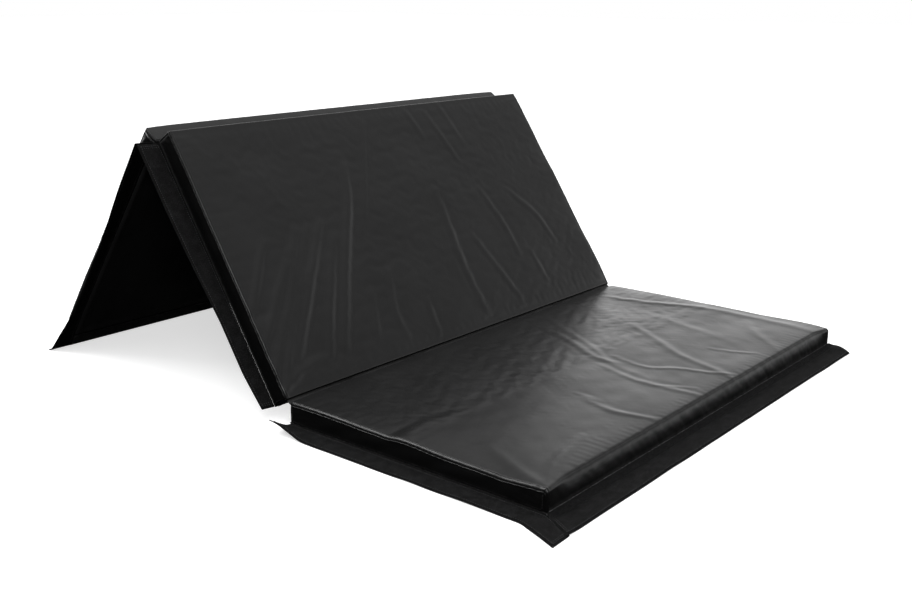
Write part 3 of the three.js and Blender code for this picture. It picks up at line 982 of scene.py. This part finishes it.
def make_underside(panel):
    xs = mirrored_lines(HALF_LENGTH, RIM_OFFSETS, UNDERSIDE_STEP)
    ys = mirrored_lines(HALF_WIDTH, RIM_OFFSETS, UNDERSIDE_STEP)
    box, quads = box_grid(xs, ys, np.arange(len(RIM_LEVELS)))
    x, y, level = box.T
    heights, leans = np.array(RIM_LEVELS).T * MM
    lean = leans[level.astype(int)]
    z = heights[level.astype(int)] + np.where(level == 0, underside_height(panel, x, y), 0)
    points = np.stack([x * (1 - lean / HALF_LENGTH), y * (1 - lean / HALF_WIDTH), z], axis=1)
    node = panel + "_underside_sheet"
    sheet = add_piece(node + "_sewn", panel, (points, quads), "underside_vinyl", [node])

    lines_across, lines_along = HOOK_TAPE_LINES
    tape_x = HOOK_TAPE_X + np.linspace(-0.5, 0.5, lines_across) * HOOK_TAPE_WIDTH
    tape_y = np.linspace(-HOOK_TAPE_LENGTH / 2, HOOK_TAPE_LENGTH / 2, lines_along)
    grid = np.stack(np.broadcast_arrays(tape_x[:, None], tape_y[None, :], HOOK_TAPE_HEIGHT), axis=2)
    tape_node = panel + "_underside_hook_tape"
    tape = add_piece(tape_node + "_strip", panel, shell(grid, HOOK_TAPE_SHEET), "hook_tape", [tape_node])
    stitches = add_stitches(node, panel, underside_rows(panel), "underside_vinyl")


# ---- flaps ----

FLAP_SHEET = 1.0 * MM
HEM_SHEET = 1.9 * MM
HEM_WIDTH = 7 * MM
TAPE_SHEET = 1.1 * MM
TAPE_MARGIN = 3.5 * MM
TAPE_GAP = 0.05 * MM
FLAP_STEPS = (9 * MM, 6 * MM)
STITCH_STEP, CROSS_STITCH_POINTS = 4 * MM, 14
SEAM_HEIGHT = 5.3 * MM
FLOOR_HEIGHT = 1.15 * MM
REAR_SLOPE = math.acos(MATRICES["rear"].col[2].z)
FOOT_STRAIGHT = 34.3 * MM
FOOT_RADIUS = 10 * MM
END_FLAP_HALF, END_FLAP_WIDTH, END_FLAP_GAP = 612 * MM, 50 * MM, 0.3 * MM

# A flap on the floor: over what distance it drops, and how it lifts outwards, in mm.
DROP_REACH, DROP_FALL = 8, 1.3
LIFT_LENGTH, LIFT_GROWTH = 130, 1.5
# Heights: the front flaps' seams, the side one's far curl, the end one's overlap and its bulge.
SIDE_SEAM_RISE, END_SEAM_RISE = 4.2 * MM, 6 * MM
CURL_HEIGHT, OVERLAP_HEIGHT, BULGE_HEIGHT = 27 * MM, 1.7 * MM, 8 * MM
CURL_PLACE = (215, 300)
REAR_SAG = 6.5

# The plan of each flap, from its start to its end: (share of its length, inner x, y, outer x, y) in mm.
# Many of the outer places started from the same program's results.
FLAP_PLANS = {
    "front_side_flap": (
        (0, -610.4, 296, -668, 300),
        (0.08, -610.4, 243, -661, 243),
        (0.86, -610.4, -270, -659, -285),
        (0.905, -607, -303, -669, -309),
        (1, -641, -368, -694, -370),
    ),
    "front_end_flap": (
        (0, -612, -303.3, -649, -367),
        (0.3, -240, -303.3, -250, -366),
        (0.7, 240, -303.3, 225, -365),
        (1, 611, -303.3, 582, -366),
    ),
    "middle_side_flap": (
        (0, -610.4, -302, -643, -299),
        (0.13, -610.4, -219, -651, -219),
        (0.32, -610.4, -106, -653, -106),
        (0.52, -610.4, 11, -660, 11),
        (0.75, -610.4, 148, -666, 148),
        (1, -610.4, 296, -667, 299),
    ),
    "rear_side_flap": (
        (0, -610.4, -296, -660, -300),
        (0.3, -610.4, -110, -656, -110),
        (0.5, -610.4, 20, -647, 20),
        (0.8, -610.4, 215, -645, 215),
        (0.93, -608.0, 303, -655, 303),
        (1, -604, 350, -662, 352),
    ),
}


def flap_plan(node, u, v):
    """Where a flap's points are in plan, u along it and v outwards, and how wide it is there."""
    table = np.array(FLAP_PLANS[node], float)
    columns = [np.interp(u, table[:, 0], table[:, k]) * MM for k in range(1, 5)]
    inner, outer = np.stack(columns[:2], axis=-1), np.stack(columns[2:], axis=-1)
    return inner + (outer - inner) * v[..., None], np.linalg.norm(outer - inner, axis=-1)


def laid_flap(node, u, v, seam_rise, wave, seed):
    """A flap that drops from its seam and lies on the floor; wave is how far it lifts, in mm."""
    plan, width = flap_plan(node, u, v)
    away = v * width / MM
    z = FLOOR_HEIGHT + seam_rise * np.exp(-((away / DROP_REACH) ** DROP_FALL))
    lift = 0.5 + undulation(plan[..., 0] / MM, plan[..., 1] / MM, 0.5, LIFT_LENGTH, seed)
    z = z + wave * MM * np.maximum(lift, 0) * v**LIFT_GROWTH
    return np.concatenate([plan, z[..., None]], axis=-1)


def front_side_flap(u, v):
    """Its far end curls up beside the middle panel."""
    seam_rise = SIDE_SEAM_RISE * (1 - smooth_step(u, 0.88, 0.93))
    points = laid_flap("front_side_flap", u, v, seam_rise, wave=1.1, seed=41)
    points[..., 2] += CURL_HEIGHT * smooth_step(points[..., 1] / MM, *CURL_PLACE) * v**1.3
    return points


def front_end_flap(u, v):
    """Its left end lies over the side flap, and its right end bulges a little."""
    points = laid_flap("front_end_flap", u, v, END_SEAM_RISE, wave=0.9, seed=43)
    overlap = 1 - smooth_step(u, 0.004, 0.03)
    points[..., 2] += OVERLAP_HEIGHT * overlap * np.minimum(1, 3 * v)
    points[..., 2] += BULGE_HEIGHT * smooth_step(u, 0.95, 1) * np.sin(np.pi * np.clip(v, 0, 1))
    return points


def raised_flap(node, u, v, bend):
    """A flap that stands out of a raised panel's edge; bend is how far it leaves the level."""
    plan, _ = flap_plan(node, u, v)
    return np.concatenate([plan, (SEAM_HEIGHT + bend)[..., None]], axis=-1)


def middle_side_flap(u, v):
    bend = undulation(600 * u, 60 * v, 0.8, 240, 51) * v**1.5 * MM
    return raised_flap("middle_side_flap", u, v, bend)


def rear_side_flap(u, v):
    """It sags along the middle, and bends level below the panel."""
    sag = -REAR_SAG * np.sin(np.pi * np.clip(u, 0, 1)) ** 0.8 * v**1.3
    wave = undulation(600 * u, 60 * v, 1.1, 170, 53) * v**1.5
    points = raised_flap("rear_side_flap", u, v, (sag + wave) * (1 - smooth_step(u, 0.85, 0.93)) * MM)
    away = points[..., 1] - HALF_WIDTH
    y, rise = foot_bend(np.maximum(away, 0))
    points[..., 1] = np.where(away > 0, y, points[..., 1])
    points[..., 2] += np.where(away > 0, rise, 0)
    return points


def foot_bend(away):
    """Where the cloth below the rear panel goes, which is bent level on the floor: y, and rise in z."""
    arc = FOOT_RADIUS * REAR_SLOPE
    turned = np.clip(away - FOOT_STRAIGHT, 0, arc) / FOOT_RADIUS
    toe = np.maximum(away - FOOT_STRAIGHT - arc, 0)
    y = HALF_WIDTH + np.minimum(away, FOOT_STRAIGHT) + FOOT_RADIUS * np.sin(turned)
    rise = FOOT_RADIUS * (1 - np.cos(turned)) + toe * math.sin(REAR_SLOPE)
    return y + toe * math.cos(REAR_SLOPE), rise


def rear_end_flap(u, v):
    y, rise = foot_bend(END_FLAP_GAP + v * END_FLAP_WIDTH)
    return np.stack([END_FLAP_HALF * (2 * u - 1), y, SEAM_HEIGHT + rise], axis=-1)


# Each flap: name, surface, flat width and length in mm, kind of tape, how the flap is held, and where
# the tape starts from the seam.
FLAPS = (
    ("front_side_flap", front_side_flap, 50, 665, "loop", "laid", TAPE_MARGIN),
    ("front_end_flap", front_end_flap, 64, 1216, "loop", "laid", 16 * MM),
    ("middle_side_flap", middle_side_flap, 51, 592, "loop", "hung", TAPE_MARGIN),
    ("rear_side_flap", rear_side_flap, 49, 648, "loop", "hung", TAPE_MARGIN),
    ("rear_end_flap", rear_end_flap, 50, 1220, "hook", "hung", TAPE_MARGIN),
)


def flap_rows(surface, width, length, side, inner_margin):
    """The stitches along both edges of a flap's tape, across its ends, and along the flap's back."""
    margin_u, margin_v = TAPE_MARGIN / length, TAPE_MARGIN / width
    lift = FLAP_SHEET / 2 + TAPE_SHEET + TAPE_GAP
    along_u = np.linspace(1.6 * margin_u, 1 - 1.6 * margin_u, int(length / STITCH_STEP))
    rows = []

    def add_row(u, v, row_side, row_lift):
        rows.append(surface_row(surface, *map(np.array, np.broadcast_arrays(u, v)), row_lift, row_side))

    add_row(along_u, 1 - 1.7 * margin_v, side, lift + (HEM_SHEET - FLAP_SHEET) / 2)
    if inner_margin == TAPE_MARGIN:
        add_row(along_u, 1.6 * margin_v, side, lift)
    across_v = np.linspace(inner_margin / width + 0.6 * margin_v, 1 - 1.6 * margin_v, CROSS_STITCH_POINTS)
    for inset in (1.7 * margin_u, 2.9 * margin_u):
        add_row(inset, across_v, side, lift)
        add_row(1 - inset, across_v, side, lift)
    for v in (1 - 0.9 * HEM_WIDTH / width, 2 * margin_v):
        add_row(along_u, v, -side, HEM_SHEET / 2)
    return rows


def make_flap(node, shape, width_mm, length_mm, kind, held, inner_margin):
    """A hemmed flap, with loop tape sewn on its upper face or hook tape on its lower one."""
    panel = node.split("_")[0]
    tape_node = node.replace("flap", kind + "_tape")
    side = 1 if kind == "loop" else -1
    width, length = width_mm * MM, length_mm * MM

    def surface(u, v):
        return shape(*np.broadcast_arrays(u, v))

    hem_u, hem_v = HEM_WIDTH / length, HEM_WIDTH / width
    step_u, step_v = FLAP_STEPS[0] / length, FLAP_STEPS[1] / width
    us = np.concatenate([[0, 0.4 * hem_u, hem_u], lines_between(1.12 * hem_u, 1 - 1.12 * hem_u, step_u),
                         [1 - hem_u, 1 - 0.4 * hem_u, 1]])
    vs = np.concatenate([lines_between(0, 1 - 1.15 * hem_v, step_v), [1 - hem_v, 1 - 0.4 * hem_v, 1]])
    from_end = np.minimum(us, 1 - us)[:, None] / hem_u
    hemmed = (from_end < 1.05) | (vs[None, :] > 1 - 1.05 * hem_v)
    sewn = shell(surface(us[:, None], vs[None, :]), np.where(hemmed, HEM_SHEET, FLAP_SHEET))
    flap = add_piece(node + "_sewn", panel, sewn, "flap_webbing", [node])

    tape_us = lines_between(TAPE_MARGIN / length, 1 - TAPE_MARGIN / length, step_u)
    tape_vs = lines_between(inner_margin / width, 1 - TAPE_MARGIN / width, step_v)
    grid = surface(tape_us[:, None], tape_vs[None, :])
    over_hem = np.where(tape_vs > 1 - 1.05 * hem_v, HEM_SHEET - FLAP_SHEET, 0)[None, :, None] / 2
    lift = FLAP_SHEET / 2 + TAPE_SHEET / 2 + TAPE_GAP + over_hem
    grid = grid + upward(grid_normals(grid), side) * lift
    tape = add_piece(tape_node + "_strip", panel, shell(grid, TAPE_SHEET), kind + "_tape", [tape_node])
    rows = flap_rows(surface, width, length, side, inner_margin)
    stitches = add_stitches(node, panel, rows, "flap_webbing")


# ---- fold strips ----

# A strip's section: how far each point stands back from the panel's edge, and its height, in mm.
UPPER_STRIP = ((5.0, 42.0), (2.5, 41.5), (0.4, 40.5))
LOWER_STRIP = ((8.5, 2.6), (6.2, 2.0), (2.6, 2.4))
# Each strip: name, its two panels, its section, the height of its middle in mm, and its finish.
FOLD_STRIPS = (
    ("front_fold_strip", "front", "middle", UPPER_STRIP, 40.0, "cover_vinyl"),
    ("rear_fold_strip", "middle", "rear", LOWER_STRIP, 1.6, "underside_vinyl"),
)
STRIP_SHEET, STRIP_INSET, STRIP_STEP = 0.9 * MM, 3 * MM, 10 * MM
STRIP_WAVES = (0.5, 40)


def make_fold_strip(node, first, second, section, middle_height, slot):
    """The cloth that bridges two panels, bent across their joint."""
    xs = lines_between(-COVER_END + STRIP_INSET, COVER_END - STRIP_INSET, STRIP_STEP)
    columns = [(first, HALF_WIDTH - back * MM, height) for back, height in section]
    columns.append((first, HALF_PITCH, middle_height))
    columns += [(second, -HALF_WIDTH + back * MM, height) for back, height in reversed(section)]
    grid = np.zeros((len(xs), len(columns), 3))
    for k, (panel, y, height) in enumerate(columns):
        free = 0.3 < k / len(columns) < 0.7
        z = height + undulation(xs / MM, 0 * xs, *STRIP_WAVES, 60 + k) * free
        turn = np.array(MATRICES[panel])
        grid[:, k] = np.stack([xs, 0 * xs + y, z * MM], axis=1) @ turn[:3, :3].T + turn[:3, 3]
    strip = new_mesh_object(node + "_cloth", shell(grid, STRIP_SHEET), MATERIALS[slot])
    subdivide(strip)
    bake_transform(strip)
    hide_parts(node)


# ---- materials ----


class Paint:
    """Builds one node material, with its coordinates from the cloth itself."""

    def __init__(self, name, color, roughness, **plain):
        self.material = bpy.data.materials.new(name)
        self.material.use_nodes = True
        self.tree = self.material.node_tree
        self.shader = self.tree.nodes["Principled BSDF"]
        self.shader.inputs["Base Color"].default_value = (*color, 1)
        self.shader.inputs["Roughness"].default_value = roughness
        for socket, value in plain.items():
            self.shader.inputs[socket.replace("_", " ")].default_value = value
        place = add_node(self.tree, "ShaderNodeAttribute", {}, attribute_name="cloth_place")
        self.place = place.outputs["Vector"]
        self.last_normal = None

    def stretched(self, scale, turn=0.0):
        inputs = {"Vector": self.place, "Scale": scale, "Rotation": (0, 0, turn)}
        return add_node(self.tree, "ShaderNodeMapping", inputs).outputs["Vector"]

    def noise(self, scale, detail, place=None, distortion=0.0):
        inputs = {"Vector": place or self.place, "Scale": scale, "Detail": detail, "Distortion": distortion}
        return add_node(self.tree, "ShaderNodeTexNoise", inputs).outputs["Fac"]

    def cells(self, scale):
        inputs = {"Vector": self.place, "Scale": scale}
        return add_node(self.tree, "ShaderNodeTexVoronoi", inputs, feature="SMOOTH_F1").outputs["Distance"]

    def waves(self, scale, direction, distortion=0.0):
        inputs = {"Vector": self.place, "Scale": scale, "Distortion": distortion, "Detail": 1.0}
        return add_node(self.tree, "ShaderNodeTexWave", inputs, bands_direction=direction).outputs["Fac"]

    def product(self, first, second):
        return math_node(self.tree, "MULTIPLY", first, second)

    def mixed(self, first, second, share):
        """This share of the first value, and the rest of the second."""
        parts = self.product(first, share), self.product(second, 1 - share)
        return math_node(self.tree, "ADD", *parts)

    def bump(self, height, strength, distance):
        inputs = {"Height": height, "Strength": strength, "Distance": distance}
        if self.last_normal:
            inputs["Normal"] = self.last_normal
        self.last_normal = add_node(self.tree, "ShaderNodeBump", inputs).outputs["Normal"]
        self.tree.links.new(self.last_normal, self.shader.inputs["Normal"])

    def color(self, value, stops):
        self.tree.links.new(ramp_node(self.tree, value, stops), self.shader.inputs["Base Color"])

    def shades(self, value, positions, shades):
        self.color(value, [(position, grey(shade)) for position, shade in zip(positions, shades)])

    def roughness(self, value, low, high, smooth, rough):
        shade = ranged_node(self.tree, value, low, high, smooth, rough)
        self.tree.links.new(shade, self.shader.inputs["Roughness"])


def grey(value):
    return (value, value, value * 1.03)


def vinyl(name, shades, roughness, grain):
    """Coated fabric: fine pebble grain, a trace of the weave under it, soft handling marks."""
    paint = Paint(name, grey(shades[1]), sum(roughness) / 2)
    cloud = paint.noise(7, 3)
    paint.shades(cloud, (0.3, 0.52, 0.75), shades)
    smears = paint.noise(30, 4, place=paint.stretched((1, 0.3, 1), 0.5), distortion=0.6)
    paint.roughness(paint.mixed(cloud, smears, 0.45), 0.36, 0.64, *roughness)
    paint.bump(paint.noise(14, 2), 0.25, 0.4 * MM)
    paint.bump(paint.product(paint.waves(230, "X"), paint.waves(230, "Y")), 0.25, 0.05 * MM)
    paint.bump(paint.cells(900), grain, 0.12 * MM)
    return paint.material


def loop_pile(name, shades):
    """Brushed loop tape: short matted fibres with a faint knitted rib."""
    paint = Paint(name, grey(shades[1]), 0.85, Specular_IOR_Level=0.13)
    mottle = paint.mixed(paint.noise(420, 3), paint.noise(60, 4), 0.7)
    paint.shades(mottle, (0.42, 0.5, 0.58), shades)
    paint.roughness(mottle, 0.3, 0.7, 0.78, 0.95)
    paint.bump(paint.waves(190, "Y", distortion=2.5), 0.35, 0.25 * MM)
    paint.bump(paint.noise(900, 5, distortion=1.5), 0.8, 0.35 * MM)
    return paint.material


def hook_rows(name, shades):
    """Moulded hook tape: close rows of small hooks."""
    paint = Paint(name, grey(shades[1]), 0.6)
    hooks = paint.product(paint.waves(200, "X"), paint.waves(150, "Y", distortion=0.4))
    paint.shades(hooks, (0.1, 0.5, 0.95), shades)
    paint.roughness(paint.noise(120, 3), 0.3, 0.7, 0.5, 0.72)
    paint.bump(hooks, 0.9, 0.6 * MM)
    return paint.material


def webbing(name, shades):
    """Plain woven backing with a hemmed edge."""
    paint = Paint(name, grey(shades[1]), 0.8, Specular_IOR_Level=0.06)
    yarn = paint.noise(420, 3, place=paint.stretched((1, 0.4, 1)))
    paint.shades(yarn, (0.35, 0.5, 0.68), shades)
    paint.roughness(paint.noise(60, 3), 0.3, 0.7, 0.7, 0.88)
    across, along = paint.waves(260, "X", distortion=0.3), paint.waves(260, "Y", distortion=0.3)
    paint.bump(math_node(paint.tree, "ADD", across, along), 0.6, 0.2 * MM)
    return paint.material


def thread_paint(name, shades):
    """Twisted thread, lighter than the vinyl; on the foot beads it is a painted highlight line."""
    paint = Paint(name, grey(sum(shades) / 2), 0.6)
    twist = paint.waves(900, "DIAGONAL")
    paint.shades(twist, (0.2, 0.8), shades)
    paint.roughness(paint.noise(500, 2), 0.3, 0.7, 0.5, 0.7)
    paint.bump(twist, 0.5, 0.1 * MM)
    return paint.material


# By the record's material slot; each has its shades from dark to light.
MATERIALS = {
    "cover_vinyl": vinyl("cover_vinyl", (0.002, 0.0025, 0.0035), (0.28, 0.37), grain=0.35),
    "underside_vinyl": vinyl("underside_vinyl", (0.005, 0.0065, 0.009), (0.55, 0.7), grain=0.6),
    "loop_tape": loop_pile("loop_tape", (0.0015, 0.004, 0.0095)),
    "hook_tape": hook_rows("hook_tape", (0.006, 0.012, 0.024)),
    "flap_webbing": webbing("flap_webbing", (0.003, 0.005, 0.009)),
    # The thread's light shades also paint the foot beads as a highlight line.
    "thread": thread_paint("sewing_thread_and_bead_highlight", (0.045, 0.08)),
}

# ---- the mat ----

make_camera()
make_studio()
make_floor()

for panel in PANELS:
    make_cover(panel)
    make_gusset(panel, -1, "left")
    make_gusset(panel, 1, "right")
    make_foot_bead_highlights(panel)
    make_foot_stitches(panel)
    make_underside(panel)

for flap in FLAPS:
    make_flap(*flap)

for strip in FOLD_STRIPS:
    make_fold_strip(*strip)
